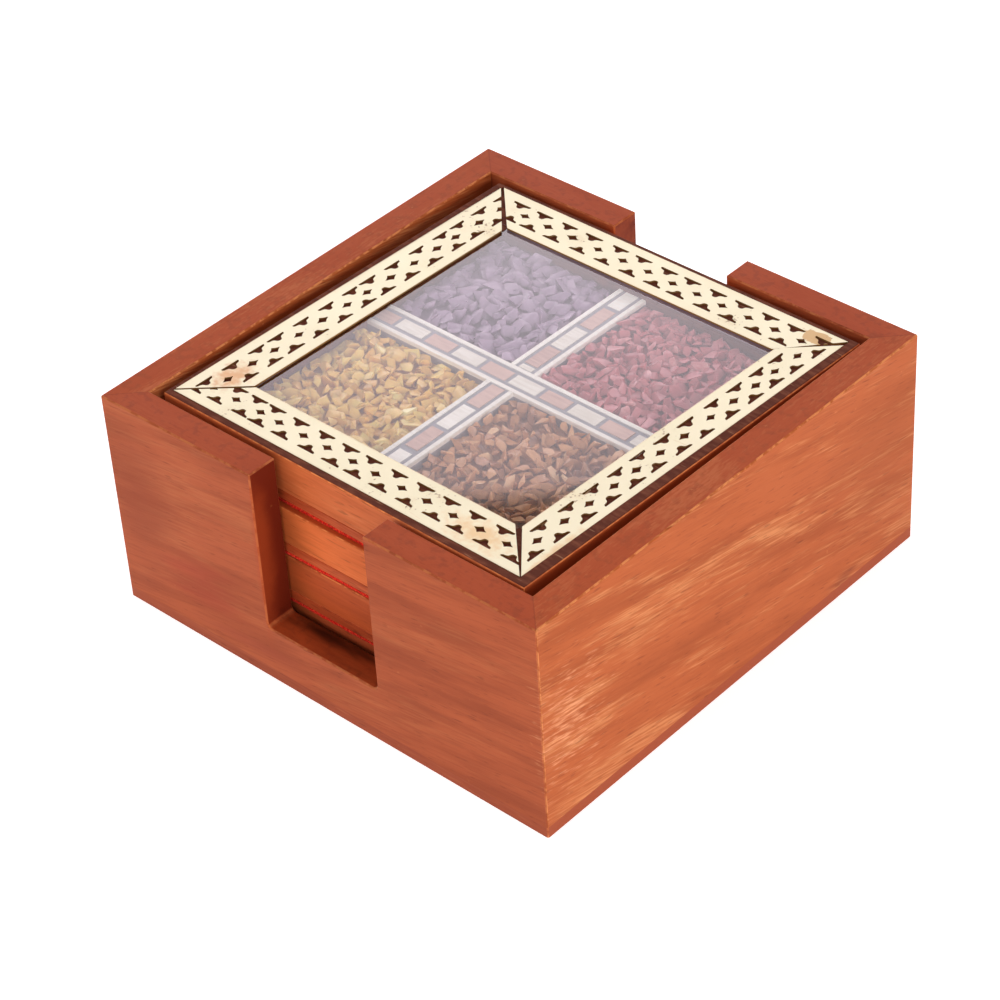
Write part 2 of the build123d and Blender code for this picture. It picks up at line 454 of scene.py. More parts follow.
@dataclass(frozen=True)
class FloatGlass:
    """Clear float glass, polished: it mirrors the bright room as a pale grey veil."""

    name: str = "clear_float_glass"
    tint: str = "fcfcfc"
    index: float = 1.52
    both_faces: float = 1.88

    def material(self) -> Material:
        """Makes the node material: smooth glass that lets the lamps' light through.

        Returns:
            The new material.
        """
        bench = Bench(self.name)
        smears = bench.add("TexNoise", bench.place, Scale=per_metre(22.0), Detail=3.0)
        polish = bench.add("MapRange", smears, To_Min=0.01, To_Max=0.04)
        mirror = bench.add("BsdfAnisotropic", linear("ffffff"), Roughness=polish)
        clear = bench.add("BsdfTransparent", linear(self.tint))
        gloss = bench.add("Fresnel", IOR=self.index)
        # both faces mirror, so the outer face carries the inner one's share too
        inside = bench.add("NewGeometry", output="Backfacing")
        both = self.both_faces
        share = bench.add("Math", inside, -both, both, operation="MULTIPLY_ADD")
        share = bench.add("Math", gloss, share, operation="MULTIPLY")
        pane = bench.add("MixShader", share, clear, mirror)
        lamp = bench.add("LightPath", output="Is Shadow Ray")
        return bench.end(bench.add("MixShader", lamp, pane, clear))


@dataclass(frozen=True)
class SawnInlay:
    """A sawn inlay strip or tile: fine saw marks run across it, and its tone varies."""

    name: str
    body: str
    dark: str
    spacing: float
    roughness: float

    def material(self) -> Material:
        """Makes the node material.

        Returns:
            The new material.
        """
        bench = Bench(self.name)
        marks = bench.strokes(0.75, 0.1, self.spacing, 4.0)
        tone = bench.add("Attribute", attribute_name="tone", output="Fac")
        mixed = bench.add("Math", marks, 0.8, tone, operation="MULTIPLY_ADD")
        return bench.coat(
            Base_Color=bench.paint(self.body, self.dark, mixed, 0.25, 1.0),
            Normal=bench.add("Bump", Strength=0.2, Distance=0.0001, Height=marks),
            Roughness=self.roughness, Specular_IOR_Level=0.3,
        )


@dataclass(frozen=True)
class TumbledStone:
    """Crushed and tumbled quartz-family stone: waxy chips, each of its own tone."""

    name: str
    tones: tuple[tuple[float, str], ...]
    roughness: float
    glow: float

    def material(self) -> Material:
        """Makes the node material.

        Returns:
            The new material.
        """
        bench = Bench(self.name)
        # veins and clouds in a chip
        veins = bench.add("TexNoise", bench.place, Scale=per_metre(1.8), Detail=4.0)
        tone = bench.add("Attribute", attribute_name="tone", output="Fac")
        mixed = bench.add("Math", veins, 0.5, operation="SUBTRACT")
        mixed = bench.add("Math", mixed, 0.6, tone, operation="MULTIPLY_ADD")
        return bench.coat(
            Base_Color=bench.add("ValToRGB", mixed, stops=self.tones),
            Roughness=self.roughness, Subsurface_Weight=self.glow,
            Subsurface_Scale=0.001, Subsurface_Radius=(1.0, 0.8, 0.8),
        )


# ---------------------------------------------------------------- shapes


def slab(shape: Shape, low: Point, high: Point) -> list[Vert]:
    """Adds a box to a shape.

    Args:
        shape: the shape that it joins.
        low: its lowest corner.
        high: its highest corner.

    Returns:
        The box's vertices.
    """
    size = [high[axis] - low[axis] for axis in range(3)]
    middle = Vector([(high[axis] + low[axis]) / 2 for axis in range(3)])
    matrix = Matrix.Translation(middle) @ Matrix.Diagonal((*size, 1.0))
    return bmesh.ops.create_cube(shape, size=1.0, matrix=matrix)["verts"]


def faces_of(verts: Sequence[Vert]) -> list[Face]:
    """The faces that touch any of these vertices, each once, in a steady order."""
    return list(dict.fromkeys(face for vert in verts for face in vert.link_faces))


def verts_in(made: Sequence[object]) -> list[Vert]:
    """The vertices among the things that an operator made."""
    return [item for item in made if isinstance(item, Vert)]


def turn_outwards(shape: Shape) -> Shape:
    """Points a shape's faces outwards and returns it."""
    bmesh.ops.recalc_face_normals(shape, faces=shape.faces[:])
    return shape


def round_off(shape: Shape, edges: Sequence[bmesh.types.BMEdge], by: float, segments: int) -> None:
    """Bevels some of a shape's edges.

    Args:
        shape: the shape.
        edges: the edges to bevel.
        by: the bevel's width.
        segments: how many faces it has across.
    """
    bmesh.ops.bevel(
        shape, geom=edges, offset=by, segments=segments, profile=0.5, affect="EDGES", material=-1
    )


def add_object(name: str, data: bpy.types.ID) -> bpy.types.Object:
    """Adds an object to the scene.

    Args:
        name: the object's name.
        data: its mesh, light or camera.

    Returns:
        The new object.
    """
    made = bpy.data.objects.new(name, data)
    bpy.context.scene.collection.objects.link(made)
    return made


def make_object(name: str, shape: Shape, finishes: Sequence[Material]) -> bpy.types.Object:
    """Turns a shape into an object of the scene.

    Args:
        name: the object's name.
        shape: its mesh, in metres and in place.
        finishes: its materials, in the order of the faces' material numbers.

    Returns:
        The new object.
    """
    mesh = bpy.data.meshes.new(name)
    shape.to_mesh(mesh)
    shape.free()
    for finish in finishes:
        mesh.materials.append(finish)
    return add_object(name, mesh)


def refinish(node: str, finish: Material) -> None:
    """Gives a CAD node a better material and keeps its mesh.

    Args:
        node: the node's name.
        finish: the material.
    """
    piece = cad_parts[node]
    piece.data.materials.clear()
    piece.data.materials.append(finish)
    LOG.info("%s: finished in %s", node, finish.name)


# ---------------------------------------------------------------- holder


@dataclass(frozen=True)
class Holder:
    """The open tray: four mitred walls on a thin base panel, made of boards of one tree."""

    boards: tuple[tuple[Grain, tuple[str, str], str, str, float, float, float], ...] = (
        (Grain.ALONG_X, ("front", "back"), "a9522e", "863c22", 0.14, 0.08, 0.3),
        (Grain.ALONG_Y, ("left", "right"), "b25a2e", "944622", 0.19, 0.5, 0.75),
    )
    patches: tuple[StainAndLightPatch, ...] = (
        StainAndLightPatch((-34.0, -57.0, 15.0), (15.0, 5.0, 8.0), "a23a28", 0.4),
        StainAndLightPatch((-50.0, -57.0, 28.0), (14.0, 5.0, 26.0), "8c3e22", 0.6, 8.0),
        StainAndLightPatch((-20.0, -57.0, 6.0), (20.0, 5.0, 3.0), "93402a", 0.4),
        # painted highlight: pale threads of sheen on the right face near the front corner
        StainAndLightPatch((57.0, -50.0, 24.0), (5.0, 20.0, 26.0), "e8a072", 0.65, 0.45, 2.6),
        StainAndLightPatch((57.0, 46.0, 26.0), (5.0, 22.0, 26.0), "984a22", 0.4, 8.0),
        # painted reflection: the back notch's side painted lit orange, as gloss catching the light
        StainAndLightPatch((-15.0, 53.0, 46.0), (1.5, 8.0, 10.0), "b8582c", 0.7, 4.0),
        # painted shade: the notch's sill darkened, for the shade in the notch
        StainAndLightPatch((-3.0, -50.0, 13.5), (24.0, 9.0, 4.0), "2a0e06", 0.95, 4.0),
        # painted light: the front notch's left side lighter orange near its outer edge
        StainAndLightPatch((-15.0, -57.0, 30.0), (1.5, 4.0, 20.0), "a84620", 0.5, 6.0, 0.8),
        StainAndLightPatch((57.0, 34.0, 4.0), (5.0, 7.0, 2.2), "74321e", 0.5, 1.5),
    )

    def dress(self) -> None:
        """Finishes the holder's CAD nodes, each with its grain along its board."""
        for grain, walls, body, deep, tilt, painted_sheen, wear_and_highlight in self.boards:
            # dc935c is the colour of the walls' painted sheen
            finish = Hardwood(
                f"lacquered_red_hardwood_{grain.name.lower()}", grain, body, deep, "dc935c",
                tilt=tilt, painted_sheen=painted_sheen, wear_and_highlight=wear_and_highlight, joint=0.2, stain_and_light_patches=self.patches,
            ).material()
            for wall in walls:
                refinish(f"holder_{wall}_wall", finish)
        base = Hardwood(
            "lacquered_hardwood_panel_edge", Grain.ALONG_X, "9c4a2c", "843a22", "c07048",
            end="9c4a2c", painted_sheen=0.3,
        )
        refinish("holder_base", base.material())


# ---------------------------------------------------------------- coaster wood and felt


def step(shape: Shape, face: Face, corners: Sequence[Plan], height: float,
         finish: int) -> Face:
    """Extrudes a level four-sided face to new corners at a new height.

    Args:
        shape: the solid that the face belongs to.
        face: the level face.
        corners: the new corners, front left first, anticlockwise seen from above.
        height: the new height.
        finish: material number of the faces made.

    Returns:
        The face in its new place.
    """
    made = bmesh.ops.extrude_discrete_faces(shape, faces=[face])["faces"][0]
    for vert in made.verts:
        vert.co = (*corner_for(vert, corners), height)
    for part in faces_of(made.verts):
        part.material_index = finish
    return made


def corner_for(vert: Vert, corners: Sequence[Plan]) -> Plan:
    """Which of four corners, front left first, anticlockwise, lies on a vertex's side."""
    column = 1 if vert.co.x > 0 else 0
    return corners[column] if vert.co.y < 0 else corners[3 - column]


def square(half: float) -> tuple[Plan, ...]:
    """Corners of a square in plan, front left first, anticlockwise."""
    return ((-half, -half), (half, -half), (half, half), (-half, half))


def shrunk(corners: Sequence[Plan], margin: float) -> tuple[Plan, ...]:
    """The corners moved inwards along both axes."""
    return tuple((x - math.copysign(margin, x), y - math.copysign(margin, y)) for x, y in corners)


# Outline of a coaster, sawn a little out of square
PLAN = ((-48.5, -48.4), (47.1, -48.4), (48.4, 49.0), (-47.5, 48.4))


@dataclass(frozen=True)
class CoasterBlock:
    """The wooden block: seats let in its top, outer edges sanded round, a plate beneath.

    The plate is a thinner board glued on to hide the underside, and shows as a darker band
    above the felt. The rim's number is its material: 1 gives the rim the stained seat's dark
    finish, 0 the block's own lighter wood. A dark dab of the seat's finish under each mitre of
    the brass is painted shade, so that the gap in the mitre shows dark.
    """

    plan: tuple[Plan, ...] = PLAN
    top: float = 12.0
    joint: float = 3.1
    under: float = 0.9
    rounding: float = 0.45
    segments: int = 3
    lip: float = 0.15
    glue_gap: float = 0.12
    brass_corners: tuple[Plan, ...] = (
        (-47.5, -46.75), (44.45, -46.55), (46.35, 47.9), (-45.6, 47.5)
    )
    brass_under: float = 11.6
    glass_seat: float = 37.4
    glass_under: float = 9.8
    window: float = 36.6
    pocket_floor: float = 6.8
    # dabs: dark blocks of the seat's finish under the brass mitres, painted shade for each mitre's
    # gap
    dabs: tuple[Plan, ...] = ((-35.7, -36.1), (34.3, -35.6), (36.2, 36.9), (-34.7, 35.6))
    dab_heights: Plan = (11.42, 11.58)
    dab_gap: float = 0.05
    rim: int = 1

    def shape(self) -> Shape:
        """Models the block.

        Returns:
            The block in millimetres: wood is material 0, stained seats 1, the plate 2 and the
            pale mauve paint round the pane's edge 3, a painted reflection of the glass's veil.
        """
        shape = bmesh.new()
        slab(shape, (-1, -1, self.joint), (1, 1, self.top))
        for vert in shape.verts:
            vert.co.xy = corner_for(vert, self.plan)
        round_off(shape, shape.edges[:], self.rounding, self.segments)
        shape.normal_update()
        for face in shape.faces:
            if face.normal.z > NEARLY_LEVEL:
                face.material_index = self.rim
        bottom = max(shape.faces, key=lambda face: (face.normal.z < -LEVEL, face.calc_area()))
        top = max(shape.faces, key=lambda face: (face.normal.z > LEVEL, face.calc_area()))
        glass, window = square(self.glass_seat), square(self.window)
        for corners, height, finish in (
            (self.brass_corners, self.top, self.rim),
            (self.brass_corners, self.brass_under, 1),
            (glass, self.brass_under, 1),
            # the wood round the pane's edge is painted pale mauve, a painted reflection
            (glass, self.glass_under, 3),
            (window, self.glass_under, 1),
            (window, self.pocket_floor, 1),
        ):
            top = step(shape, top, corners, height, finish)
        rim, side = shrunk(self.plan, self.lip + self.glue_gap), shrunk(self.plan, self.lip)
        for corners, height in (
            (rim, self.joint),
            (side, self.joint - self.glue_gap),
            (side, self.under + self.glue_gap),
            (rim, self.under),
        ):
            bottom = step(shape, bottom, corners, height, 2)
        low, high = self.dab_heights
        reach = self.glass_seat - self.dab_gap
        # painted shade: a dark dab under each mitre so that its gap shows dark
        for dab in self.dabs:
            (west, east), (south, north) = (
                sorted((value, math.copysign(reach, value))) for value in dab
            )
            for face in faces_of(slab(shape, (west, south, low), (east, north, high))):
                face.material_index = 1
        return turn_outwards(shape)


@dataclass(frozen=True)
class FeltSheet:
    """The felt under a block: a pressed sheet whose cut edge is uneven and fuzzy."""

    chance: Random
    corners: tuple[Plan, ...] = shrunk(PLAN, 0.3)
    thickness: float = 0.9
    clear: float = 0.02
    cells: int = 64
    bulge: float = 0.1
    ragged: float = 0.1
    hair_spacing: float = 0.7
    hair_length: float = 0.3
    hair_radius: float = 0.06
    hair_margin: float = 0.15
    hair_sizes: Plan = (0.6, 1.2)
    hair_sway: float = 0.9
    hair_lean: float = 0.7
    grid_edge: float = 0.999

    def flat(self) -> tuple[float, float, float]:
        """Measures the sheet as it was before it was glued.

        Returns:
            Its mean width, its mean length and its area, in metres.
        """
        front, right, back, left = (math.dist(*ends) * MM for ends in self.edges())
        width, length = (front + back) / 2, (left + right) / 2
        return width, length, width * length

    def edges(self) -> list[tuple[Plan, Plan]]:
        """The ends of each edge, front edge first, anticlockwise."""
        return list(zip(self.corners, self.corners[1:] + self.corners[:1]))

    def shape(self) -> Shape:
        """Models the sheet with its loose fibres.

        Returns:
            The sheet in millimetres, its underside just clear of the brass that it lies on.
        """
        shape = bmesh.new()
        bmesh.ops.create_grid(shape, x_segments=self.cells, y_segments=self.cells, size=1.0)
        made = shape.faces[:]
        for _ in range(2):
            made = bmesh.ops.extrude_face_region(shape, geom=made)["geom"]
            bmesh.ops.translate(shape, vec=(0, 0, self.thickness / 2), verts=verts_in(made))
            made = [item for item in made if isinstance(item, Face)]
        turn_outwards(shape)
        near_left, near_right, far_right, far_left = (Vector(corner) for corner in self.corners)
        for vert in shape.verts:
            share = (vert.co.xy + Vector((1, 1))) / 2
            spot = near_left.lerp(near_right, share.x)
            spot = spot.lerp(far_left.lerp(far_right, share.x), share.y)
            if max(abs(vert.co.x), abs(vert.co.y)) > self.grid_edge:
                swell = self.bulge if 0 < vert.co.z < self.thickness else 0.0
                swell += self.chance.uniform(-self.ragged, self.ragged)
                spot *= 1 + swell / spot.length
            vert.co = (*spot, max(vert.co.z, self.clear))
        for first, second in self.edges():
            self.fringe(shape, Vector((*first, 0.0)), Vector((*second, 0.0)))
        return shape

    def fringe(self, shape: Shape, start: Vector, end: Vector) -> None:
        """Adds the loose fibres that stand out of one cut edge.

        Args:
            shape: the sheet.
            start: the edge's first end.
            end: its other end, anticlockwise from the first.
        """
        side, chance = end - start, self.chance
        outward = Matrix.Rotation(math.atan2(side.y, side.x), 4, "Z")
        count = int(side.length / self.hair_spacing)
        for index in range(count):
            root = start.lerp(end, (index + chance.random()) / count)
            root.z = chance.uniform(self.hair_margin, self.thickness - self.hair_margin)
            sway = Matrix.Rotation(chance.uniform(-self.hair_sway, self.hair_sway), 4, "Z")
            lean = math.pi / 2 + chance.uniform(-self.hair_lean, self.hair_lean)
            bmesh.ops.create_cone(
                shape, cap_ends=True, cap_tris=True, segments=3, radius1=self.hair_radius,
                radius2=0.0, depth=self.hair_length * chance.uniform(*self.hair_sizes),
                matrix=Matrix.Translation(root) @ outward @ sway @ Matrix.Rotation(lean, 4, "X"),
            )


# ---------------------------------------------------------------- pierced brass


@dataclass(frozen=True)
class Strip:
    """One pierced strip, with its outer edge toward you and its start on your left.

    Corners are in plan, in millimetres about the coaster's middle. The openings of each row
    were punched by hand, mostly in fours, so each has its own place along the outer edge.
    """

    name: str
    outer_start: Plan
    outer_end: Plan
    inner_end: Plan
    inner_start: Plan
    outer_band: float
    inner_band: float
    outer_row: tuple[float, ...]
    diamonds: tuple[float, ...]
    inner_row: tuple[float, ...]


STRIPS = (
    Strip(
        "brass_front",
        (-47.4, -46.6), (44.2, -46.4), (33.0, -35.3), (-35.5, -36.2), 2.3, 2.05,
        (-43.5, -37.4, -30.4, -25.6, -19.0, -11.8, -5.1, 0.8, 7.6, 14.6, 21.6, 27.7, 34.5, 41.7),
        (-40.7, -34.1, -27.3, -22.0, -15.2, -8.8, -1.8, 4.3, 11.3, 17.8, 24.7, 31.4, 38.3),
        (-36.2, -30.5, -25.4, -18.7, -11.8, -5.1, 1.0, 7.9, 14.7, 21.5, 28.2, 35.2),
    ),
    Strip(
        "brass_right",
        (44.4, -46.2), (46.2, 46.3), (36.15, 37.1), (35.05, -35.6), 1.75, 1.9,
        (-40.3, -33.4, -26.0, -19.2, -12.4, -6.2, 0.8, 7.5, 15.2, 22.0, 28.4, 34.4, 41.1),
        (-37.0, -29.6, -22.8, -15.9, -9.6, -2.7, 4.1, 11.8, 18.6, 25.2, 31.1, 37.9),
        (-33.7, -26.3, -19.4, -12.7, -6.2, 0.6, 7.5, 15.2, 22.0, 28.6, 34.5),
    ),
    Strip(
        "brass_back",
        (46.2, 47.8), (-45.2, 47.4), (-34.2, 36.3), (36.0, 36.7), 2.25, 2.3,
        (-42.3, -35.3, -28.8, -21.9, -15.2, -8.3, -2.2, 4.8, 11.1, 18.4, 25.2, 32.2, 38.7),
        (-38.9, -32.3, -25.5, -18.6, -12.0, -5.6, 1.1, 7.9, 14.7, 21.9, 28.7, 35.3),
        (-35.3, -29.0, -22.2, -15.7, -8.6, -2.4, 4.3, 11.2, 18.0, 25.2, 31.9, 37.4),
    ),
    Strip(
        "brass_left",
        (-45.8, 47.1), (-47.4, -46.0), (-35.7, -35.7), (-34.5, 35.0), 2.4, 2.45,
        (-43.4, -36.8, -30.1, -25.0, -18.0, -10.9, -3.9, 1.2, 8.0, 15.0, 22.0, 27.3, 34.3, 41.3),
        (-40.3, -33.7, -26.7, -21.2, -14.4, -7.6, -0.8, 4.9, 11.8, 18.4, 25.1, 31.0, 37.8),
        (-36.5, -30.0, -24.5, -17.6, -10.8, -3.9, 1.7, 8.5, 15.3, 22.0, 27.8, 34.4),
    ),
)


@dataclass(frozen=True)
class Fretwork:
    """Cuts one strip of the brass frame from sheet, its whole pattern moved by the slide."""

    strip: Strip
    slide: float
    chance: Random
    under: float = 11.6
    thickness: float = 0.4
    pattern_length: float = 92.8
    star: Plan = (1.5, 0.98)
    hollow: float = 0.88
    spare: float = 7.0
    drift: float = 0.08
    widths: Plan = (0.94, 1.06)
    heights: Plan = (0.94, 1.05)
    sizes: Plan = (0.92, 1.06)
    lobes: tuple[Plan, ...] = (
        (2.2, 0.0), (2.2, 0.35), (1.95, 0.62), (1.4, 0.72), (1.0, 0.88), (0.8, 1.15),
        (0.68, 1.5), (0.42, 1.8), (0.0, 1.88),
    )

    def trefoil(self) -> list[Plan]:
        """Draws a trefoil, each a little different.

        Returns:
            Its outline about the middle of its straight base, tip toward +Y.
        """
        wide, tall = self.chance.uniform(*self.widths), self.chance.uniform(*self.heights)
        right = [(x * wide, y * tall) for x, y in self.lobes]
        return right + [(-x, y) for x, y in reversed(right[:-1])]

    def diamond(self) -> list[Plan]:
        """Draws a four-pointed diamond with slightly hollow sides.

        Returns:
            Its outline about its middle.
        """
        size = self.chance.uniform(*self.sizes)
        long, wide = (reach * size for reach in self.star)
        tips = ((long, 0.0), (0.0, wide), (-long, 0.0), (0.0, -wide))
        outline = []
        for tip, after in zip(tips, tips[1:] + tips[:1]):
            sides = (Vector(tip).lerp(Vector(after), share) for share in (1 / 3, 2 / 3))
            outline += [tip, *(tuple(spot * self.hollow) for spot in sides)]
        return outline

    def shape(self) -> Shape:
        """Punches the strip and cuts its mitres.

        Returns:
            The strip in millimetres, in its place on the coaster, with a map along it.
        """
        strip = self.strip
        start, end = Vector(strip.outer_start), Vector(strip.outer_end)
        long, along = (end - start).length, (end - start).normalized()
        across = Vector((-along.y, along.x))
        middle = (start + end) / 2
        stretch = long / self.pattern_length
        corners = (strip.inner_start, strip.inner_end)
        width = sum((Vector(corner) - start).dot(across) for corner in corners) / 2
        reach = long / 2 + self.spare

        shape = bmesh.new()
        outlines = [[(-reach, 0.0), (reach, 0.0), (reach, width), (-reach, width)]]
        tip_room = (strip.outer_band + width - strip.inner_band) / 2
        for places, base, side, outline in (
            (strip.outer_row, strip.outer_band, 1, self.trefoil),
            (strip.diamonds, tip_room, 1, self.diamond),
            (strip.inner_row, width - strip.inner_band, -1, self.trefoil),
        ):
            for place in places:
                drift = self.chance.uniform(-self.drift, self.drift)
                centre = (place + self.slide) * stretch
                if abs(centre) < reach - self.spare / 2:
                    points = [(centre + x, base + drift + side * y) for x, y in outline()]
                    outlines.append(points)
        for outline in outlines:
            spots = [middle + along * x + across * y for x, y in outline]
            verts = [shape.verts.new((*spot, self.under + self.thickness)) for spot in spots]
            for ends in zip(verts, verts[1:] + verts[:1]):
                shape.edges.new(ends)
        bmesh.ops.triangle_fill(shape, use_beauty=True, edges=shape.edges[:], normal=(0, 0, 1))
        for outer, inner, keep in (
            (strip.outer_start, strip.inner_start, 1),
            (strip.outer_end, strip.inner_end, -1),
        ):
            cut = Vector(inner) - Vector(outer)
            bmesh.ops.bisect_plane(
                shape, geom=shape.verts[:] + shape.edges[:] + shape.faces[:],
                plane_co=(*outer, 0.0), plane_no=Vector((-cut.y, cut.x, 0.0)) * keep,
                clear_outer=True,
            )
        lower = bmesh.ops.extrude_face_region(shape, geom=shape.faces[:])["geom"]
        bmesh.ops.translate(shape, vec=(0, 0, -self.thickness), verts=verts_in(lower))
        turn_outwards(shape)
        layer = shape.loops.layers.uv.new("strip")
        for face in shape.faces:
            for loop in face.loops:
                spot = loop.vert.co.xy - start
                loop[layer].uv = (spot.dot(along) / long, spot.dot(across) / width)
        return shape


# ---------------------------------------------------------------- marquetry cross


@dataclass(frozen=True)
class MarquetryCross:
    """The cross that divides the pocket: one long bar and two half bars butted to it.

    Each bar is a dark core between two bone lines, and bone and brown tiles take turns on it.
    """

    chance: Random
    reach: float = 36.5
    width: float = 7.0
    line: float = 1.0
    tile: float = 3.2
    groove: float = 0.2
    floor: float = 6.8
    top: float = 9.78
    veneer: float = 1.0
    edge: float = 0.08
    uneven: float = 0.06
    sunk: float = 0.08
    line_tone: float = 0.15
    tile_tone: float = 0.35
    core_tone: float = 0.3
    long_bone: tuple[Plan, ...] = (
        (-30.6, -23.3), (-15.0, -8.1), (0.3, 7.5), (15.8, 23.1), (31.6, 36.5),
    )
    long_brown: tuple[Plan, ...] = (
        (-36.5, -31.5), (-22.4, -15.9), (-7.2, -0.6), (8.4, 14.9), (24.0, 30.7),
    )
    half_bone: tuple[Plan, ...] = (
        (3.7, 5.1), (13.2, 20.9), (30.4, 36.5), (-20.2, -12.2), (-36.5, -30.2),
    )
    half_brown: tuple[Plan, ...] = ((5.6, 12.7), (21.9, 29.4), (-11.4, -3.9), (-28.8, -21.2))

    def box(self, shape: Shape, span: Plan, side: Plan, height: Plan, upright: bool,
            tone: float) -> None:
        """Adds one strip or tile.

        Args:
            shape: the piece that it belongs to.
            span: its ends along the bar.
            side: its edges across the bar.
            height: its underside and its top.
            upright: whether the bar lies along Y.
            tone: how dark it is, from 0 to 1.
        """
        verts = slab(shape, *zip(span, side, height))
        layer = shape.faces.layers.float["tone"]
        for face in faces_of(verts):
            face[layer] = tone
        if upright:
            quarter = Matrix.Rotation(math.pi / 2, 4, "Z")
            bmesh.ops.transform(shape, matrix=quarter, verts=verts)

    def shapes(self) -> dict[str, Shape]:
        """Models the bone pieces, the brown tiles and the dark cores.

        Returns:
            Their shapes by kind, in millimetres.
        """
        shapes = {name: bmesh.new() for name in ("bone", "brown", "core")}
        for shape in shapes.values():
            shape.faces.layers.float.new("tone")
        half, under = self.width / 2, self.top - self.veneer
        inner = half - self.line
        for *span, upright in (
            (-self.reach, self.reach, False),
            (half, self.reach, True),
            (-self.reach, -half, True),
        ):
            for side in ((-half, -inner), (inner, half)):
                tone = self.chance.uniform(0.0, self.line_tone)
                self.box(shapes["bone"], span, side, (under, self.top), upright, tone)
            for side, height in (
                ((-half, half), (self.floor, under)),
                ((-inner, inner), (under, self.top - self.groove)),
            ):
                self.box(shapes["core"], span, side, height, upright, self.core_tone)
        for kind, upright, tiles in (
            ("bone", False, self.long_bone),
            ("brown", False, self.long_brown),
            ("bone", True, self.half_bone),
            ("brown", True, self.half_brown),
        ):
            for span in tiles:
                wide = self.tile / 2 + self.chance.uniform(-self.uneven, self.uneven)
                height = (under, self.top - self.chance.uniform(0.0, self.sunk))
                tone = self.chance.uniform(0.0, self.tile_tone)
                self.box(shapes[kind], span, (-wide, wide), height, upright, tone)
        for shape in shapes.values():
            shape.normal_update()
            rims = [e for e in shape.edges if any(f.normal.z > LEVEL for f in e.link_faces)]
            round_off(shape, rims, self.edge, 1)
            turn_outwards(shape)
        return shapes


# ---------------------------------------------------------------- stone chips


@dataclass(frozen=True)
class Chips:
    """One kind of crushed stone: its bed's quarter, its chips' size and its tones.

    The large chips are single ones that stand out, each by its place, length and tone.
    """

    name: str
    quarter: Plan
    length: Plan
    flat: float
    spacing: float
    finish: TumbledStone
    slim: Plan = (0.5, 0.8)
    keen: float = 0.8
    spread: float = 0.15
    large: tuple[tuple[float, float, float, float], ...] = ()


CHIPS = (
    Chips("amethyst", (-1, 1), (4.4, 7.6), 0.4, 3.1, TumbledStone(
        "tumbled_amethyst_chips",
        ((0.0, "866e8a"), (0.4, "9c849e"), (0.75, "ae96ae"), (1.0, "d6c6d2")), 0.35, 0.4,
    ), keen=1.3, spread=0.1),
    Chips("citrine", (-1, -1), (3.0, 5.4), 0.5, 2.4, TumbledStone(
        "tumbled_citrine_chips",
        ((0.0, "b08434"), (0.35, "e4b052"), (0.7, "f4d072"), (1.0, "fff0b0")), 0.3, 0.4,
    ), large=((-8.5, -20.0, 6.0, 0.98), (-28.0, -8.5, 5.0, 0.85))),
    Chips("carnelian", (1, 1), (2.8, 5.2), 0.5, 2.3, TumbledStone(
        "tumbled_red_carnelian_chips",
        ((0.0, "a8545c"), (0.4, "c26a70"), (0.8, "d28488"), (1.0, "f0b4b0")), 0.3, 0.4,
    )),
    Chips("tiger_eye", (1, -1), (2.8, 5.4), 0.45, 2.35, TumbledStone(
        "tumbled_tiger_eye_chips",
        ((0.0, "8e5634"), (0.35, "c28656"), (0.7, "e4ac7c"), (1.0, "f6d2a8")), 0.35, 0.2,
    ), slim=(0.3, 0.6), keen=0.6, spread=0.2),
)


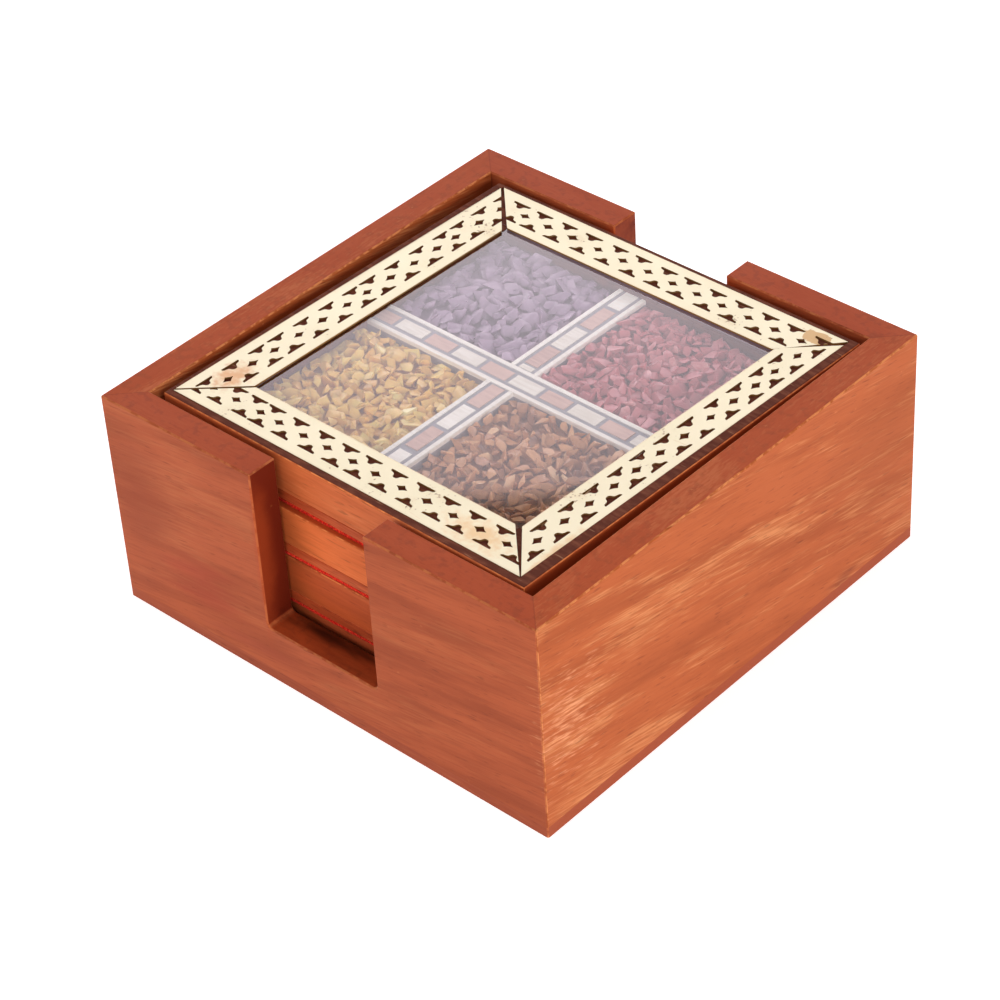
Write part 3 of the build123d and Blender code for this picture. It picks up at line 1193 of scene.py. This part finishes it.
@dataclass(frozen=True)
class ChipBed:
    """A bed of chips poured into one quarter of the pocket, sunk toward its outer walls."""

    kind: Chips
    chance: Random
    near: float = 3.6
    far: float = 36.5
    floor: float = 6.8
    dust: float = 0.3
    dust_tone: float = 0.3
    top: float = 9.65
    layers: Plan = (1.1, 0.0)
    scatter: Plan = (0.1, 0.9)
    slump: tuple[Plan, ...] = ((3.0, 0.3), (1.5, 0.1))
    rough: float = 0.4
    tilt: float = 0.45
    tone: float = 0.48
    shapes: int = 40
    corners: int = 10

    @property
    def size(self) -> float:
        """The bed's width and length."""
        return self.far - self.near

    @property
    def low(self) -> list[float]:
        """The bed's lowest corner in plan."""
        return [side * (self.near + self.size / 2) - self.size / 2 for side in self.kind.quarter]

    def chip(self, tone: float) -> bpy.types.Mesh:
        """Models one chip of unit length: the hull of a few points on a flattened ball.

        Args:
            tone: its tone, from 0 to 1.

        Returns:
            The chip's mesh.
        """
        shape, chance = bmesh.new(), self.chance
        slim = chance.uniform(*self.kind.slim)
        for _ in range(self.corners):
            angle, rise = chance.uniform(0, 2 * math.pi), chance.uniform(-1, 1)
            ring = math.sqrt(1 - rise * rise) / 2
            across, up = ring * math.sin(angle) * slim, rise * self.kind.flat / 2
            shape.verts.new((ring * math.cos(angle), across, up))
        inside = bmesh.ops.convex_hull(shape, input=shape.verts[:])["geom_interior"]
        bmesh.ops.delete(shape, geom=verts_in(inside), context="VERTS")
        turn_outwards(shape)
        mesh = bpy.data.meshes.new("chip")
        shape.to_mesh(mesh)
        shape.free()
        mesh.shade_smooth()
        mesh.set_sharp_from_angle(angle=self.kind.keen)
        layer = mesh.attributes.new("tone", "FLOAT", "FACE")
        layer.data.foreach_set("value", [min(1.0, max(0.0, tone))] * len(mesh.polygons))
        return mesh

    def shape(self) -> Shape:
        """Pours the bed.

        Returns:
            The bed in millimetres on its layer of dust, each chip with its own tone.
        """
        kind, chance, low = self.kind, self.chance, self.low
        library = [self.chip(chance.gauss(self.tone, kind.spread)) for _ in range(self.shapes)]
        shape = bmesh.new()
        layer = shape.faces.layers.float.new("tone")
        high = (*(value + self.size for value in low), self.floor + self.dust)
        slab(shape, (*low, self.floor), high)
        for face in shape.faces:
            face[layer] = self.dust_tone
        count = int(self.size / kind.spacing)
        for depth in self.layers:
            for row in range(count):
                for column in range(count):
                    x, y = (
                        corner + (cell + chance.uniform(*self.scatter)) * self.size / count
                        for corner, cell in zip(low, (column, row))
                    )
                    level = self.top - depth - self.sunk(x, y) - chance.uniform(0.0, self.rough)
                    chip = chance.choice(library)
                    length = chance.uniform(*kind.length)
                    turn = self.tumble() @ Matrix.Scale(length, 4)
                    self.drop(shape, chip, turn, (x, y, level))
        for x, y, length, tone in kind.large:
            library.append(self.chip(tone))
            turn = Matrix.Rotation(chance.uniform(0, 2 * math.pi), 4, "Z")
            self.drop(shape, library[-1], turn @ Matrix.Scale(length, 4), (x, y, self.top))
        for mesh in library:
            bpy.data.meshes.remove(mesh)
        return shape

    def sunk(self, x: float, y: float) -> float:
        """Measures how far the bed has sunk: most at the outer walls, less at the cross.

        Args:
            x: the place's distance to the right of the middle, in millimetres.
            y: its distance behind the middle.

        Returns:
            The depth in millimetres.
        """
        gaps = (self.far - max(abs(x), abs(y)), min(abs(x), abs(y)) - self.near)
        pairs = zip(gaps, self.slump)
        return sum(deep * max(0.0, 1 - gap / reach) for gap, (reach, deep) in pairs)

    def tumble(self) -> Matrix:
        """Turns one chip, which lies mostly on its flat side.

        Returns:
            Its turn.
        """
        around = [self.chance.uniform(0, 2 * math.pi)]
        around += [self.chance.gauss(0, self.tilt) for _ in range(2)]
        around.append(self.chance.uniform(0, 2 * math.pi))
        turn = Matrix()
        for angle, axis in zip(around, "ZXYZ"):
            turn = turn @ Matrix.Rotation(angle, 4, axis)
        return turn

    def drop(self, shape: Shape, chip: bpy.types.Mesh, turn: Matrix, spot: Point) -> None:
        """Adds one chip so that its highest corner is at the spot's height.

        Args:
            shape: the bed.
            chip: the chip's mesh, of unit length.
            turn: its turn and size.
            spot: its place, with the height of its top.
        """
        corners = [turn @ vertex.co for vertex in chip.vertices]
        least, most = ([pick(values) for values in zip(*corners)] for pick in (min, max))
        level = max(spot[2] - most[2], self.floor - least[2])
        move = [spot[0], spot[1], min(level, self.top - most[2])]
        for axis, low in enumerate(self.low):
            nearest, farthest = low - least[axis], low + self.size - most[axis]
            move[axis] = min(max(move[axis], nearest), farthest)
        placed = Matrix.Translation(move) @ turn
        chip.transform(placed)
        shape.from_mesh(chip)
        chip.transform(placed.inverted())


# ---------------------------------------------------------------- one coaster


def make_finishes() -> dict[str, Material]:
    """Makes the materials that the coasters share.

    Returns:
        The materials by what they finish.
    """
    stains = (
        StainAndLightPatch((-41.4, -35.6, 50.6), (5.0, 7.0, 6.0), "d9a777", 0.85, 1.6),
        StainAndLightPatch((41.2, 44.2, 50.6), (5.2, 2.6, 6.0), "cca66c", 0.85, 2.5, 1.2, 0.1),
        StainAndLightPatch((30.6, -42.6, 50.6), (11.0, 5.0, 6.0), "e6c188", 0.7, 1.8),
        StainAndLightPatch((44.6, -38.6, 50.6), (1.6, 12.0, 6.0), "e3bd85", 0.6, 1.8),
    )
    finishes = {
        "seat": StainedSeat(),
        "plate": Hardwood(
            "stained_hardwood_under_plate", Grain.ALONG_X, "b04a26", "8a3418", "d0693c",
            end="8a3418", worn_highlight="c86038",
        ),
        # painted reflection: a pale mauve band under the brass, on the wood round the pane's edge,
        # for the glass's reflected veil over it
        "dust": SawnInlay("painted_reflection_round_pane", "94808c", "7c6874", 0.6, 0.7),
        "felt": PressedFelt(),
        "brass": PiercedBrass(stains=stains),
        "glass": FloatGlass(),
        "bone": SawnInlay("sawn_camel_bone", "fcf8f0", "dcd4c6", 0.5, 0.45),
        "brown": SawnInlay("sawn_rosewood_tiles", "dcbcae", "b8938a", 0.5, 0.5),
        "core": SawnInlay("dyed_grey_wood_core", "b2b0b6", "908e96", 0.6, 0.6),
    }
    # painted shade: the left side of what shows through the front notch is darkened, where the
    # notch's side shades it
    notch_shade = (StainAndLightPatch((-16.0, -49.0, 26.0), (12.0, 5.0, 50.0), "84401e", 0.6, 5.0),)
    # pale is the colour of each block's painted sheen
    for number, body, deep, pale in (
        (1, "ce6b3b", "a84e28", "e89860"),
        (2, "d96d37", "b04e24", "ee9c60"),
        (3, "b85127", "96401e", "d87c48"),
        (4, "b4502c", "8c3a1e", "d07444"),
    ):
        finishes[f"block_{number}"] = Hardwood(
            f"sanded_hardwood_block_{number}", Grain.ALONG_X, body, deep, pale, end=deep,
            worn_highlight="f09050", painted_sheen=0.2, wear_and_highlight=0.8, stain_and_light_patches=notch_shade,
        )
    finishes |= {kind.name: kind.finish for kind in CHIPS}
    return {name: finish.material() for name, finish in finishes.items()}


@dataclass(frozen=True)
class Coaster:
    """One coaster of the stack, number 1 on top, built at the place of its CAD nodes."""

    number: int
    slide: float
    finishes: dict[str, Material]
    seed: int = 4100

    def named(self, piece: str) -> str:
        """Name of one of the coaster's CAD nodes or pieces."""
        return f"coaster_{self.number}_{piece}"

    @cached_property
    def seat(self) -> Matrix:
        """Reads where the coaster lies in the stack from its CAD nodes.

        Returns:
            The move from millimetres about its underside's middle to its place in metres.
        """
        low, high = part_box(self.named("glass"))
        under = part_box(self.named("felt"))[0].z
        centre = Vector(((low.x + high.x) / 2, (low.y + high.y) / 2, under))
        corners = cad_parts[self.named("glass")].data.vertices
        corner = max((vertex.co for vertex in corners), key=lambda co: co.x + co.y)
        turn = math.atan2(corner.y - centre.y, corner.x - centre.x) - math.pi / 4
        return Matrix.Translation(centre) @ Matrix.Rotation(turn, 4, "Z") @ Matrix.Scale(MM, 4)

    def build(self) -> None:
        """Makes and dresses every piece of the coaster."""
        chance = Random(self.seed + self.number)
        block = CoasterBlock(rim=int(self.number == 1)).shape()
        # the dust finish is the painted reflection on the wood round the pane's edge
        wood = (f"block_{self.number}", "seat", "plate", "dust")
        self.piece("rounded_block", block, "coaster_wood", "block", *wood)
        sheet = FeltSheet(chance)
        felt = self.piece("felt_sheet", sheet.shape(), "red_felt", "felt", "felt")
        width, length, area = sheet.flat()
        refinish(self.named("glass"), self.finishes["glass"])
        for strip in STRIPS:
            shape = Fretwork(strip, self.slide, chance).shape()
            self.piece(f"pierced_{strip.name}", shape, "pierced_brass", strip.name, "brass")
        cross = MarquetryCross(chance).shapes()
        self.piece("cross_bone_inlay", cross["bone"], "inlay_bone", "cross_bone", "bone")
        self.piece("cross_brown_tiles", cross["brown"], "inlay_wood", "cross_wood", "brown")
        self.piece("cross_core", cross["core"], "inlay_wood", "cross_wood", "core")
        for kind in CHIPS:
            shape, stone = ChipBed(kind, chance).shape(), kind.name
            self.piece(f"{stone}_chips", shape, stone, f"chips_{stone}", stone)

    def piece(self, name: str, shape: Shape, slot: str, node: str, *finishes: str
              ) -> bpy.types.Object:
        """Puts a shape in its place on this coaster and makes a piece of it.

        Args:
            name: the piece's name, without the coaster's.
            shape: its mesh in millimetres.
            slot: the record's material slot for the piece; not used.
            node: the CAD node that it stands for, without the coaster's name.
            finishes: names of its finishes, in the order of the faces' material numbers.

        Returns:
            The new object.
        """
        bmesh.ops.transform(shape, matrix=self.seat, verts=shape.verts)
        materials = [self.finishes[finish] for finish in finishes]
        piece = make_object(self.named(name), shape, materials)
        body, nodes = f"coaster_{self.number}", (self.named(node),)
        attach(piece, body)
        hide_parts(*nodes)
        LOG.info("%s: %d faces, rides on %s", piece.name, len(piece.data.polygons), body)
        return piece


# ---------------------------------------------------------------- studio


@dataclass(frozen=True)
class Lamp:
    """A soft rectangular white lamp that looks at a point of the object."""

    name: str
    place: Point
    target: Point
    size: Plan
    power: float

    def hang(self) -> None:
        """Adds the lamp to the scene."""
        light = bpy.data.lights.new(self.name, "AREA")
        light.shape, light.energy = "RECTANGLE", self.power
        light.size, light.size_y = self.size
        lamp = add_object(self.name, light)
        aim = (Vector(self.target) - Vector(self.place)).to_track_quat("-Z", "Y")
        lamp.matrix_world = Matrix.Translation(self.place) @ aim.to_matrix().to_4x4()
        lamp.visible_camera = False


@dataclass(frozen=True)
class Studio:
    """White table, even white room with a brighter wall behind, soft lamps and the camera."""

    camera_place: Point = (0.34945, -0.36485, 0.41547)
    looks: Point = (-0.547423, 0.563278, -0.618907)
    to_right: Point = (0.744101, 0.666042, -0.051981)
    lens: float = 114.085
    sensor: float = 36.0
    table_half: float = 3.0
    room: float = 0.48
    wall_from: Point = (-0.697, 0.717, 0.0)
    wall_colour: str = "fff4fc"
    lamps: tuple[Lamp, ...] = (
        Lamp("right_softbox", (0.75, -0.25, 0.22), (0.057, -0.01, 0.02), (0.5, 0.4), 3.1),
        Lamp("front_softbox", (-0.25, -0.85, 0.3), (0.0, -0.057, 0.02), (0.6, 0.5), 1.7),
    )

    def build(self) -> None:
        """Sets up the table, the room, the lamps and the camera."""
        self.table()
        self.light_room()
        for lamp in self.lamps:
            lamp.hang()
        self.camera()
        bpy.context.scene.view_settings.view_transform = "Standard"

    def table(self) -> None:
        """Adds the pale table top."""
        bench = Bench("matt_white_paper")
        weave = bench.add("TexNoise", bench.place, Scale=per_metre(8.0))
        paper = bench.coat(
            Base_Color=bench.paint("f2f2f2", "f6f6f6", weave, 0.0, 1.0),
            Roughness=0.9, Emission_Color=linear("ffffff"), Emission_Strength=0.6,
        )
        shape = bmesh.new()
        bmesh.ops.create_grid(shape, x_segments=1, y_segments=1, size=self.table_half)
        table = make_object("table_top", shape, (paper,))

    def light_room(self) -> None:
        """Lights the room: even white, brighter low behind the object, as by a window."""
        world = bpy.data.worlds.new("white_room")
        bpy.context.scene.world = world
        world.use_nodes = True
        tree = world.node_tree
        tree.nodes.clear()
        way = add_node(tree, "TexCoord").outputs["Generated"]
        toward = add_node(tree, "VectorMath", way, self.wall_from, operation="DOT_PRODUCT")
        up = add_node(tree, "SeparateXYZ", way).outputs[2]
        spread, wall, *more = (
            add_node(
                tree, "MapRange", value, low, high, 0.0, most, interpolation_type="SMOOTHSTEP"
            ).outputs[0]
            for value, low, high, most in (
                (toward.outputs["Value"], 0.3, 0.72, 1.0),  # the wall's spread to each side
                (up, 0.622, 0.614, 1.25),  # its upper edge
                (up, 0.61, 0.54, 1.0),  # brighter the lower
                (up, 0.614, 0.622, -0.25),  # dimmer above it
            )
        )
        bright = wall
        for part in more:
            bright = add_node(tree, "Math", bright, part, operation="ADD").outputs[0]
        bright = add_node(tree, "Math", bright, spread, self.room, operation="MULTIPLY_ADD")
        tint = {FACTOR: wall, FIRST: linear("ffffff"), SECOND: linear(self.wall_colour)}
        tint = add_node(tree, "Mix", numbered=tint, data_type="RGBA").outputs[BLEND]
        glow = add_node(tree, "Background", tint, bright.outputs[0]).outputs[0]
        add_node(tree, "OutputWorld", glow)

    def camera(self) -> None:
        """Sets up the camera."""
        data = bpy.data.cameras.new("camera")
        data.lens, data.sensor_width = self.lens, self.sensor
        camera = add_object("camera", data)
        right, back = Vector(self.to_right).normalized(), -Vector(self.looks).normalized()
        turn = Matrix((right, back.cross(right), back)).transposed().to_4x4()
        camera.matrix_world = Matrix.Translation(self.camera_place) @ turn
        bpy.context.scene.camera = camera


def main() -> None:
    """Builds the holder, the four coasters from the top down, and the studio."""
    logging.basicConfig(level=logging.INFO, format="%(message)s")
    Holder().dress()
    finishes = make_finishes()
    for number, slide in ((1, 0.0), (2, 1.7), (3, -2.2), (4, 0.9)):
        Coaster(number, slide, finishes).build()
    Studio().build()


if __name__ == "__main__":
    main()
